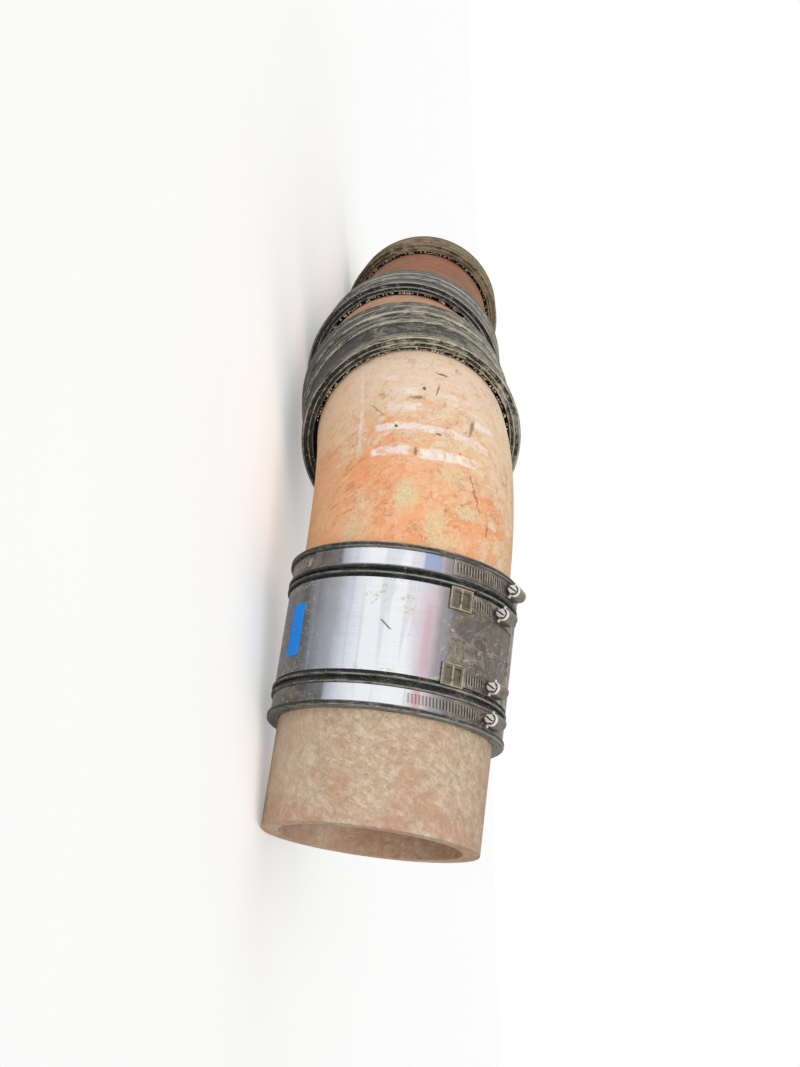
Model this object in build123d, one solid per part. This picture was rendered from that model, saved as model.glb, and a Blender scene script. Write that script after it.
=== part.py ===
from build123d import *
import math
import os

# A run of clay drain pipe: an old pipe end, a shielded rubber coupling, a bend, and black
# push-fit couplings with the pieces between them. It lies on its side, so that the plane of
# the large bend is nearly level and the clamping screws are on the upper side.
# Lengths are millimetres. The level floor is z = 0.

# Clay pipe
PIPE_OD = 178.0
PIPE_WALL = 14.0
PIPE_CHAMFER = 3.0
END_GAP = 3.0                # from a pipe's end to the middle of its coupling
OLD_PIPE_SHOWING = 88.0      # old pipe beyond the rubber sleeve

# Large bend
BEND_ANGLE = 45.0
BEND_RADIUS = 225.0
BEND_UPPER_STRAIGHT = 2.5    # straight before the first push-fit coupling

# Small bend after the first push-fit coupling, and the last pipe
SMALL_BEND_ANGLE = 11.25
SMALL_BEND_RADIUS = 225.0
SMALL_BEND_ROLL = 40.0       # degrees that its plane is rolled from upright toward the large bend
SMALL_BEND_BEFORE = 20.0     # straight between the first coupling and the arc
SMALL_BEND_AFTER = 18.0      # straight between the arc and the second coupling
LAST_PIPE_SHOWING = 330.0    # between the second and third couplings

# Shielded rubber coupling
SLEEVE_LENGTH = 135.0
SLEEVE_WALL = 6.3            # rubber between the pipe and the bands
RIM_HEIGHT = 3.4             # above the bands' seat
RIM_WIDTH = 4.2
RIM_FOOT = 0.4
RIB_HEIGHT = 2.7
RIB_WIDTH = 3.4
RIB_GAP = 2.0
BAND_GAP = 0.4               # between a tension band and the first rib
RUBBER_ROUND = 0.9
BAND_THICK = 0.9
BAND_WIDTH = 14.0
SHEAR_WIDTH = 76.0
SHEAR_LAP_FROM = 62.0        # angles run from the front, over the top
SHEAR_LAP_TO = 112.0
STRAP_WIDTH = 14.0
STRAP_AT = 31.0              # each side of the middle
TAIL_ENDS = 30.0             # degrees that a slotted tail goes past the middle of its housing
TAIL_CLEARANCE = 0.6         # a tail is this much narrower than its housing lets through
WELD_SINK = 0.1              # lapped layers are welded to the band below
FRAME_BORDER = 2.0           # raised frame round the window of a strap
FRAME_TURN = 10.0            # degrees from the strap's end to the far side of its frame
FRAME_EDGE_TURN = 2.0
WINDOW_SIDE = 1.5
WINDOW_BAR_FROM = 3.4        # a bar divides the window, in degrees from the strap's end
WINDOW_BAR_TURN = 0.8
PLAIN_STRAP_TURN = 2.0       # degrees of plain strap before the first worm slot

# Worm-drive clamps
SCREW_ABOVE_SEAT = 6.6       # screw axis above the seat of the bands
SCREW_AHEAD = 9.2            # from the middle of the housing to the front of the collar
HOUSING_LENGTH = 19.0
HOUSING_WIDTH = 13.6
HOUSING_BASE = 1.5
HOUSING_SUNK = 0.45          # a flat base meets the round band at its ends
BARREL_R = 5.6
BARREL_WALL = 0.9
BARREL_LENGTH = 15.0
WORM_CLEARANCE = 0.6
COLLAR_CLEARANCE = 0.4
COLLAR_THICK = 1.2
HEX_ACROSS = 6.3
HEX_HEIGHT = 4.2
SCREW_SLOT_WIDTH = 1.1
SCREW_SLOT_DEPTH = 1.8
SCREW_SLOT_TURN = 35.0
WORM_SLOT_PITCH = 2.9
WORM_SLOT_WIDTH = 1.3
WORM_SLOT_LENGTH = 7.5
WORM_SLOT_SLANT = 6.0

# Push-fit couplings
COUPLING_LENGTH = 112.0
MOUTH_CLEARANCE = 4.0        # round the pipe
MOUTH_DEPTH = 6.0
INSIDE_CLEARANCE = 5.5
GROOVE_DEPTH = 3.0
GROOVE_WIDTH = 20.0
STOP_HEIGHT = 5.0            # how far the stop covers the wall of the pipe
STOP_WIDTH = 5.0
BODY_WALL = 6.1
LIP_HEIGHT = 3.2             # heights are above the body
LIP_WIDTH = 11.0
MID_HEIGHT = 1.3
MID_FROM = 54.0
MID_WIDTH = 25.0
BEAD_HEIGHT = 2.3
BEAD_WIDTH = 2.6
BEAD_SLOPE = 0.6
TAIL_HEIGHT = 2.9
TAIL_SLOPE = 1.0
EDGE_ROUND = 1.2

# Rubber seal rings
SEAL_SIDE_GAP = 0.4
SEAL_OUTER_GAP = 0.2
SEAL_BACK = 4.5              # rubber behind the lips
SEAL_LIP_WIDTH = 2.5
SEAL_FIRST_LIP = 2.6         # from the start of the ring
SEAL_SECOND_LIP = 11.5
SEAL_LIP_SLOPE = 2.0
SEAL_BITE = 2.0              # how far the lips stand inside the pipe's size before it is pushed in

# Sectors are cut out by a fan of flat sides, no wider than this in degrees
SECTOR_STEP = 40.0

# How the run settles: on the old pipe's cut end, and the collars of the first and last couplings
LEAN_ABOUT_X = -16.544
LEAN_ABOUT_Y = 8.018

pipe_r = PIPE_OD / 2
bore_r = pipe_r - PIPE_WALL
half_sleeve = SLEEVE_LENGTH / 2
half_coupling = COUPLING_LENGTH / 2
seat_r = pipe_r + SLEEVE_WALL
band_r = seat_r + BAND_THICK
lap_r = band_r + BAND_THICK
screw_axis_r = seat_r + SCREW_ABOVE_SEAT
worm_space_r = BARREL_R - BARREL_WALL
band_centre = half_sleeve - RIM_WIDTH - BAND_WIDTH / 2
# name of the band: place along the sleeve, angle of the screw's head, how far the tail shows
CLAMPS = {
    "upper": (band_centre, 49.0, 12.0),
    "lower": (-band_centre, 41.0, -4.0),
}
SHEAR_SCREWS = {
    "upper": (STRAP_AT, 41.0, 14.0),
    "lower": (-STRAP_AT, 40.0, 14.0),
}


def turned(points):
    """A solid turned about Z from a closed outline of (radius, height) points."""
    outline = Polyline(*[(r, 0, z) for r, z in points], close=True)
    return revolve(make_face(outline), Axis.Z, 360)


def tube(length, chamfer_start=False, chamfer_end=False):
    """A straight length of pipe along Z with bevelled spigot ends."""
    points = [(bore_r, 0)]
    if chamfer_start:
        points += [(pipe_r - PIPE_CHAMFER, 0), (pipe_r, PIPE_CHAMFER)]
    else:
        points += [(pipe_r, 0)]
    if chamfer_end:
        points += [(pipe_r, length - PIPE_CHAMFER), (pipe_r - PIPE_CHAMFER, length)]
    else:
        points += [(pipe_r, length)]
    points += [(bore_r, length)]
    return turned(points)


def ahead(plane, distance):
    """The same plane moved along its heading."""
    return Plane(plane.origin + plane.z_dir * distance, x_dir=plane.x_dir, z_dir=plane.z_dir)


def around(plane, toward, radius, angle):
    """An arc of pipe that bends from the plane toward a side, and the plane at its end."""
    centre = plane.origin + toward * radius
    axis_dir = plane.z_dir.cross(toward)
    ring = plane * (Circle(pipe_r) - Circle(bore_r))
    arc = revolve(ring, Axis(centre, axis_dir), angle)
    turn = math.radians(angle)
    heading = plane.z_dir * math.cos(turn) + toward * math.sin(turn)
    inward = toward * math.cos(turn) - plane.z_dir * math.sin(turn)
    end = centre - inward * radius
    side = plane.x_dir.rotate(Axis((0, 0, 0), axis_dir), angle)
    return arc, Plane(end, x_dir=side, z_dir=heading)


def hoop(inner, outer, width):
    """A thin ring about Z, centred on z = 0."""
    return Cylinder(outer, width) - Cylinder(inner, width * 2)


def layer(inner, outer, width, start, end):
    """Part of a thin ring about Z, centred on z = 0, from one angle to another."""
    reach = outer * 2
    steps = max(2, math.ceil((end - start) / SECTOR_STEP))
    angles = [start + (end - start) * i / steps for i in range(steps + 1)]
    corners = [(reach * math.cos(math.radians(a)), reach * math.sin(math.radians(a))) for a in angles]
    sector = extrude(make_face(Polyline((0, 0), *corners, close=True)), width, both=True)
    return hoop(inner, outer, width) & sector


def housing_plane(angle):
    """Plane at the middle of a screw housing: x along the screw, z outward."""
    turn = math.radians(angle)
    out = Vector(math.cos(turn), math.sin(turn), 0)
    back = Vector(-math.sin(turn), math.cos(turn), 0)
    return Plane(out * screw_axis_r, x_dir=back, z_dir=out)


def housing():
    """Pressed housing of a worm-drive clamp on its band, in the plane of housing_plane."""
    foot = band_r - screw_axis_r - HOUSING_SUNK
    base = Pos(0, 0, foot) * Box(
        HOUSING_LENGTH, HOUSING_WIDTH, HOUSING_BASE, align=(Align.CENTER, Align.CENTER, Align.MIN)
    )
    barrel = Rot(0, 90, 0) * Cylinder(BARREL_R, BARREL_LENGTH)
    web = Pos(0, 0, foot / 2) * Box(BARREL_LENGTH, BARREL_R * 2, -foot)
    return base + barrel + web


def worm_space():
    """The room for the worm, right through a housing."""
    return Rot(0, 90, 0) * Cylinder(worm_space_r, HOUSING_LENGTH * 2)


def screw():
    """Slotted hexagon screw with its collar and worm, along -X, with the head in front."""
    worm = Pos(-SCREW_AHEAD + COLLAR_THICK, 0, 0) * Rot(0, 90, 0) * Cylinder(
        worm_space_r - WORM_CLEARANCE,
        SCREW_AHEAD + BARREL_LENGTH / 2,
        align=(Align.CENTER, Align.CENTER, Align.MIN),
    )
    collar_r = worm_space_r - COLLAR_CLEARANCE
    collar = Pos(-SCREW_AHEAD + COLLAR_THICK / 2, 0, 0) * Rot(0, 90, 0) * Cylinder(collar_r, COLLAR_THICK)
    hexagon = extrude(RegularPolygon(HEX_ACROSS / 2, 6, major_radius=False), HEX_HEIGHT)
    head = Pos(-SCREW_AHEAD, 0, 0) * Rot(0, -90, 0) * hexagon
    cutter = Box(SCREW_SLOT_DEPTH * 2, SCREW_SLOT_WIDTH, HEX_ACROSS * 2)
    slot = Pos(-SCREW_AHEAD - HEX_HEIGHT, 0, 0) * Rot(SCREW_SLOT_TURN, 0, 0) * cutter
    return worm + collar + head - slot


def worm_slots(first, last):
    """Slanted slots for the worm, cut into the outer layer of a strap."""
    step = math.degrees(WORM_SLOT_PITCH / lap_r)
    count = int((last - first) / step)
    cutter = Rot(WORM_SLOT_SLANT, 0, 0) * Box(BAND_THICK * 1.6, WORM_SLOT_WIDTH, WORM_SLOT_LENGTH)
    return [Rot(0, 0, first + step * i) * Pos(lap_r, 0, 0) * cutter for i in range(count)]


def centre_angle(head_angle):
    """Angle of the housing's middle for a screw whose head is at the given angle."""
    reach = SCREW_AHEAD + HEX_HEIGHT / 2
    return head_angle + math.degrees(math.atan2(reach, screw_axis_r))


# Headings: the run starts at the old pipe's cut end and goes along -X.
sleeve_plane = Plane((0, 0, 0), x_dir=(0, -1, 0), z_dir=(-1, 0, 0))
nodes = {}

# Old pipe end
old_length = half_sleeve + OLD_PIPE_SHOWING - END_GAP
nodes["old_pipe_end"] = ahead(sleeve_plane, -half_sleeve - OLD_PIPE_SHOWING) * tube(old_length, False, True)

# Rubber sleeve: rims, seats for the bands, and pairs of ribs beside the wide band
rim_r = seat_r + RIM_HEIGHT
rib_r = seat_r + RIB_HEIGHT
rim_inner = half_sleeve - RIM_WIDTH
half_outline = [
    (pipe_r, half_sleeve),
    (rim_r - RUBBER_ROUND, half_sleeve),
    (rim_r, half_sleeve - RUBBER_ROUND),
    (rim_r, rim_inner + RIM_FOOT),
    (rim_r - RIM_FOOT, rim_inner),
    (seat_r, rim_inner),
]
rib_top = rim_inner - BAND_WIDTH - BAND_GAP
for top in (rib_top, rib_top - RIB_WIDTH - RIB_GAP):
    half_outline += [
        (seat_r, top),
        (rib_r - RUBBER_ROUND, top),
        (rib_r, top - RUBBER_ROUND),
        (rib_r, top - RIB_WIDTH + RUBBER_ROUND),
        (rib_r - RUBBER_ROUND, top - RIB_WIDTH),
        (seat_r, top - RIB_WIDTH),
    ]
other_half = [(r, -z) for r, z in reversed(half_outline)]
nodes["rubber_sleeve"] = sleeve_plane * turned(half_outline + other_half)

# Wide shear band with its lapped end and two strapped clamps. Each strap starts in a raised
# frame with a divided window.
shear = hoop(seat_r, band_r, SHEAR_WIDTH)
shear = shear + layer(band_r - WELD_SINK, lap_r, SHEAR_WIDTH, SHEAR_LAP_FROM, SHEAR_LAP_TO)
frame_r = lap_r + BAND_THICK
frame_width = STRAP_WIDTH + FRAME_BORDER * 2
window_width = STRAP_WIDTH - WINDOW_SIDE * 2
window_end = FRAME_TURN - FRAME_EDGE_TURN
bar_end = WINDOW_BAR_FROM + WINDOW_BAR_TURN
for name, (place, head_angle, tail_angle) in SHEAR_SCREWS.items():
    middle = centre_angle(head_angle)
    frame_start = tail_angle - FRAME_EDGE_TURN
    frame_end = tail_angle + FRAME_TURN
    strap = layer(band_r - WELD_SINK, lap_r, STRAP_WIDTH, tail_angle, middle + TAIL_ENDS)
    strap = strap + layer(lap_r - WELD_SINK, frame_r, frame_width, frame_start, frame_end)
    for start, end in ((0, WINDOW_BAR_FROM), (bar_end, window_end)):
        strap = strap - layer(lap_r, frame_r + BAND_THICK, window_width, tail_angle + start, tail_angle + end)
    for cutter in worm_slots(frame_end + PLAIN_STRAP_TURN, head_angle - PLAIN_STRAP_TURN):
        strap = strap - cutter
    clamp = housing_plane(middle) * housing()
    shear = shear + Pos(0, 0, place) * strap + Pos(0, 0, place) * clamp
    shear = shear - Pos(0, 0, place) * (housing_plane(middle) * worm_space())
    nodes["shear_screw_" + name] = sleeve_plane * (Pos(0, 0, place) * (housing_plane(middle) * screw()))
nodes["shear_band"] = sleeve_plane * shear

# Narrow tension bands with slotted tails
for name, (place, head_angle, tail_angle) in CLAMPS.items():
    middle = centre_angle(head_angle)
    tail_width = BAND_WIDTH - TAIL_CLEARANCE
    tail = layer(band_r - WELD_SINK, lap_r, tail_width, tail_angle, middle + TAIL_ENDS)
    for cutter in worm_slots(tail_angle + PLAIN_STRAP_TURN, head_angle - PLAIN_STRAP_TURN):
        tail = tail - cutter
    band = hoop(seat_r, band_r, BAND_WIDTH) + tail + housing_plane(middle) * housing()
    band = band - housing_plane(middle) * worm_space()
    nodes["tension_band_" + name] = sleeve_plane * (Pos(0, 0, place) * band)
    nodes["tension_screw_" + name] = sleeve_plane * (Pos(0, 0, place) * (housing_plane(middle) * screw()))

# Large bend
bend_start = ahead(sleeve_plane, END_GAP)
lower_leg = bend_start * tube(half_sleeve - END_GAP, True, False)
arc, arc_end = around(ahead(sleeve_plane, half_sleeve), Vector(0, 1, 0), BEND_RADIUS, BEND_ANGLE)
upper_leg = arc_end * tube(BEND_UPPER_STRAIGHT + half_coupling - END_GAP, False, True)
nodes["pipe_bend"] = lower_leg + arc + upper_leg
coupling_planes = [ahead(arc_end, BEND_UPPER_STRAIGHT)]

# Small bend between the first two couplings
small_start = ahead(coupling_planes[0], half_coupling + END_GAP)
small_before = small_start * tube(half_coupling - END_GAP + SMALL_BEND_BEFORE, True, False)
small_arc_start = ahead(coupling_planes[0], COUPLING_LENGTH + SMALL_BEND_BEFORE)
roll = math.radians(SMALL_BEND_ROLL)
small_toward = small_arc_start.y_dir * math.cos(roll) - small_arc_start.x_dir * math.sin(roll)
small_arc, small_end = around(small_arc_start, small_toward, SMALL_BEND_RADIUS, SMALL_BEND_ANGLE)
small_after = small_end * tube(SMALL_BEND_AFTER + half_coupling - END_GAP, False, True)
nodes["small_bend"] = small_before + small_arc + small_after
coupling_planes += [ahead(small_end, SMALL_BEND_AFTER)]

# Last pipe
last_start = ahead(coupling_planes[1], half_coupling + END_GAP)
nodes["last_pipe"] = last_start * tube(COUPLING_LENGTH + LAST_PIPE_SHOWING - END_GAP * 2, True, True)
coupling_planes += [ahead(coupling_planes[1], COUPLING_LENGTH + LAST_PIPE_SHOWING)]

# Push-fit coupling: one turned body with lips, a bead, seal grooves and a pipe stop
mouth_r = pipe_r + MOUTH_CLEARANCE
inside_r = pipe_r + INSIDE_CLEARANCE
groove_r = inside_r + GROOVE_DEPTH
stop_r = pipe_r - STOP_HEIGHT
body_r = inside_r + BODY_WALL
lip_r = body_r + LIP_HEIGHT
bead_r = body_r + BEAD_HEIGHT
mid_r = body_r + MID_HEIGHT
tail_r = body_r + TAIL_HEIGHT
mid_to = MID_FROM + MID_WIDTH
groove_end = MOUTH_DEPTH + GROOVE_WIDTH
stop_start = half_coupling - STOP_WIDTH / 2
outside = [
    (mouth_r, 0),
    (lip_r - EDGE_ROUND, 0),
    (lip_r, EDGE_ROUND),
    (lip_r, LIP_WIDTH - EDGE_ROUND),
    (lip_r - EDGE_ROUND, LIP_WIDTH),
    (body_r, LIP_WIDTH),
    (body_r, MID_FROM),
    (bead_r, MID_FROM + BEAD_SLOPE),
    (bead_r, MID_FROM + BEAD_WIDTH - BEAD_SLOPE),
    (mid_r, MID_FROM + BEAD_WIDTH),
    (mid_r, mid_to),
    (tail_r, mid_to + TAIL_SLOPE),
    (tail_r, COUPLING_LENGTH - EDGE_ROUND),
    (tail_r - EDGE_ROUND, COUPLING_LENGTH),
]
inside_half = [
    (mouth_r, 0),
    (mouth_r, MOUTH_DEPTH),
    (groove_r, MOUTH_DEPTH),
    (groove_r, groove_end),
    (inside_r, groove_end),
    (inside_r, stop_start),
    (stop_r, stop_start),
]
inside = [(r, COUPLING_LENGTH - z) for r, z in inside_half] + inside_half[:0:-1]
coupling_body = turned(outside + inside)

# Seal rings with two lips: gripped round a pipe, or free in the open socket
seal_out = groove_r - SEAL_OUTER_GAP
seal_start = MOUTH_DEPTH + SEAL_SIDE_GAP
seal_end = groove_end - SEAL_SIDE_GAP
lip_one = seal_start + SEAL_FIRST_LIP
lip_two = seal_start + SEAL_SECOND_LIP


def seal(lips_r):
    """A seal ring about Z with its lips at the given radius."""
    back_r = seal_out - SEAL_BACK
    outline = [(seal_out, seal_start), (back_r, seal_start)]
    for lip in (lip_one, lip_two):
        outline += [(lips_r, lip), (lips_r, lip + SEAL_LIP_WIDTH)]
        outline += [(back_r, lip + SEAL_LIP_WIDTH + SEAL_LIP_SLOPE)]
        if lip == lip_one:
            outline += [(back_r, lip_two - SEAL_LIP_SLOPE)]
    outline += [(back_r, seal_end), (seal_out, seal_end)]
    return turned(outline)


other_way = Pos(0, 0, COUPLING_LENGTH) * Rot(180, 0, 0)
for index, plane in enumerate(coupling_planes, start=1):
    is_open = index == len(coupling_planes)
    nodes[f"coupling_{index}"] = plane * coupling_body
    nodes[f"seal_ring_{index}_near"] = plane * seal(pipe_r)
    nodes[f"seal_ring_{index}_far"] = plane * other_way * seal(pipe_r - SEAL_BITE if is_open else pipe_r)

# Settle the run on the floor and write one file for each node
lean = Rot(LEAN_ABOUT_X, LEAN_ABOUT_Y, 0)
leaning = {name: lean * shape for name, shape in nodes.items()}
boxes = [shape.bounding_box() for shape in leaning.values()]
middle_x = (min(b.min.X for b in boxes) + max(b.max.X for b in boxes)) / 2
middle_y = (min(b.min.Y for b in boxes) + max(b.max.Y for b in boxes)) / 2
lowest = min(b.min.Z for b in boxes)
settle = Pos(-middle_x, -middle_y, -lowest) * lean
os.makedirs("parts", exist_ok=True)
for name, shape in nodes.items():
    export_step(settle * shape, f"parts/{name}.step")
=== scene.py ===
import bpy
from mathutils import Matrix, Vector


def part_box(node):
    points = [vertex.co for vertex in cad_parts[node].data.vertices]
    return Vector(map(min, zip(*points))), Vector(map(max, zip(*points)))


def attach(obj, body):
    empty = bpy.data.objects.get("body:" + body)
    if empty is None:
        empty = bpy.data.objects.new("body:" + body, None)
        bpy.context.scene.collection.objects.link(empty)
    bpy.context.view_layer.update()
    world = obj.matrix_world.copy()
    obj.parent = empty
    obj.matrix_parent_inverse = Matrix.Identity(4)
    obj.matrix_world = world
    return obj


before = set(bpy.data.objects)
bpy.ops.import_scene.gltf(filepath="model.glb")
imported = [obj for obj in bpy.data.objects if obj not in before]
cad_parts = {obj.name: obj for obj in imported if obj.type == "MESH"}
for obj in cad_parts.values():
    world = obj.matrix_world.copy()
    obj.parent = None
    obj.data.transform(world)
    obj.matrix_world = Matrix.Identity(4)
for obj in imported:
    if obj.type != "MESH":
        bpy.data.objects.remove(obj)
"""Looks of a run of clay drain pipe with a shielded steel coupling and black push-fit couplings."""
import logging
import math
import random
from dataclasses import dataclass
from enum import Enum
from typing import NamedTuple, Sequence

import bmesh
import bpy
from mathutils import Euler, Matrix, Vector

logging.basicConfig(level=logging.INFO, format="%(message)s")
log = logging.getLogger("drain")

MM = 0.001
Socket = bpy.types.NodeSocket
Material = bpy.types.Material
Pair = tuple[float, float]
Triple = tuple[float, float, float]
Colour = tuple[float, float, float, float]
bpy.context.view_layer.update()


def srgb(code: str) -> Colour:
    """Linear colour of a display colour, given as six hexadecimal digits."""
    parts = [int(code[start:start + 2], 16) / 255 for start in (0, 2, 4)]
    linear = [part / 12.92 if part <= 0.04045 else ((part + 0.055) / 1.055) ** 2.4 for part in parts]
    return (*linear, 1.0)


def palette(codes: str) -> tuple[Colour, ...]:
    """Linear colours of a row of display colours."""
    return tuple(srgb(code) for code in codes.split())


@dataclass(frozen=True)
class Sizes:
    """Lengths of the run in millimetres and angles in degrees, as in the model's source."""
    pipe_r: float = 89.0
    bend_radius: float = 225.0
    bend_angle: float = 45.0
    bend_upper_straight: float = 2.5
    small_bend_angle: float = 11.25
    small_bend_before: float = 20.0
    small_bend_after: float = 18.0
    small_bend_roll: float = 40.0
    last_pipe: float = 330.0
    half_sleeve: float = 67.5
    coupling: float = 112.0
    band_r: float = 96.2
    mouth_r: float = 93.0
    screw_axis_r: float = 101.9
    screw_ahead: float = 9.2
    hex_height: float = 4.2
    slot_turn: float = 35.0
    lean_about_x: float = -16.544
    lean_about_y: float = 8.018


SIZES = Sizes()


@dataclass(frozen=True)
class Station:
    """A place on the centre line: origin, heading, and the side that angles start from."""
    origin: Vector
    heading: Vector
    side: Vector

    def ahead(self, distance: float) -> "Station":
        """The same station moved along its heading."""
        return Station(self.origin + self.heading * distance, self.heading, self.side)

    def around(self, toward: Vector, radius: float, angle: float) -> "Station":
        """The station at the end of an arc.

        Args:
            toward: direction from the station to the arc's centre.
            radius: radius of the centre line in millimetres.
            angle: turn in degrees.
        Returns:
            The station where the arc ends.
        """
        turn = math.radians(angle)
        axis = self.heading.cross(toward)
        heading = self.heading * math.cos(turn) + toward * math.sin(turn)
        inward = toward * math.cos(turn) - self.heading * math.sin(turn)
        origin = self.origin + toward * radius - inward * radius
        return Station(origin, heading, Matrix.Rotation(turn, 3, axis) @ self.side)


class Run:
    """The run's centre line, and how it lies on the floor."""

    def __init__(self, sizes: Sizes) -> None:
        """Works out the stations from the sizes."""
        self.sizes = sizes
        low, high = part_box("rubber_sleeve")
        lean = Matrix.Rotation(math.radians(sizes.lean_about_x), 3, "X")
        lean = lean @ Matrix.Rotation(math.radians(sizes.lean_about_y), 3, "Y")
        self.lean = lean
        self.place = Matrix.Translation((low + high) / 2) @ lean.to_4x4() @ Matrix.Scale(MM, 4)
        self.sleeve = Station(Vector((0, 0, 0)), Vector((-1, 0, 0)), Vector((0, -1, 0)))
        self.bend_start = self.sleeve.ahead(sizes.half_sleeve)
        bend_end = self.bend_start.around(Vector((0, 1, 0)), sizes.bend_radius, sizes.bend_angle)
        first = bend_end.ahead(sizes.bend_upper_straight)
        small_start = first.ahead(sizes.coupling + sizes.small_bend_before)
        roll = math.radians(sizes.small_bend_roll)
        upright = small_start.heading.cross(small_start.side)
        toward = upright * math.cos(roll) - small_start.side * math.sin(roll)
        small_end = small_start.around(toward, sizes.bend_radius, sizes.small_bend_angle)
        second = small_end.ahead(sizes.small_bend_after)
        self.couplings = [first, second, second.ahead(sizes.coupling + sizes.last_pipe)]

    def matrix(self, station: Station) -> Matrix:
        """Row-frame matrix in metres of a station: x is the side, z the heading, in millimetres."""
        turn = Matrix((station.side, station.heading.cross(station.side), station.heading)).transposed()
        return self.place @ Matrix.Translation(station.origin) @ turn.to_4x4()

    def on_pipe(self, station: Station, along: float, angle: float, radius: float) -> Vector:
        """Row-frame point on a straight stretch.

        Args:
            station: where lengths are measured from.
            along: millimetres along the heading.
            angle: degrees from the side, over the top.
            radius: millimetres from the centre line.
        Returns:
            The point in metres.
        """
        turn = math.radians(angle)
        return self.matrix(station) @ Vector((radius * math.cos(turn), radius * math.sin(turn), along))

    def clamp(self, along: float, head_angle: float) -> Matrix:
        """Row-frame matrix at the middle of a screw housing.

        Args:
            along: place along the sleeve in millimetres.
            head_angle: angle round the sleeve of the screw's head.
        Returns:
            The matrix: x points outward, y along the sleeve, z along the screw to its head.
        """
        sizes = self.sizes
        reach = sizes.screw_ahead + sizes.hex_height / 2
        turn = math.radians(head_angle) + math.atan2(reach, sizes.screw_axis_r)
        out = Vector((math.cos(turn), math.sin(turn), 0))
        front = Vector((math.sin(turn), -math.cos(turn), 0))
        axes = Matrix((out, Vector((0, 0, 1)), front)).transposed().to_4x4()
        origin = out * sizes.screw_axis_r + Vector((0, 0, along))
        return self.matrix(self.sleeve) @ Matrix.Translation(origin) @ axes


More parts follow.
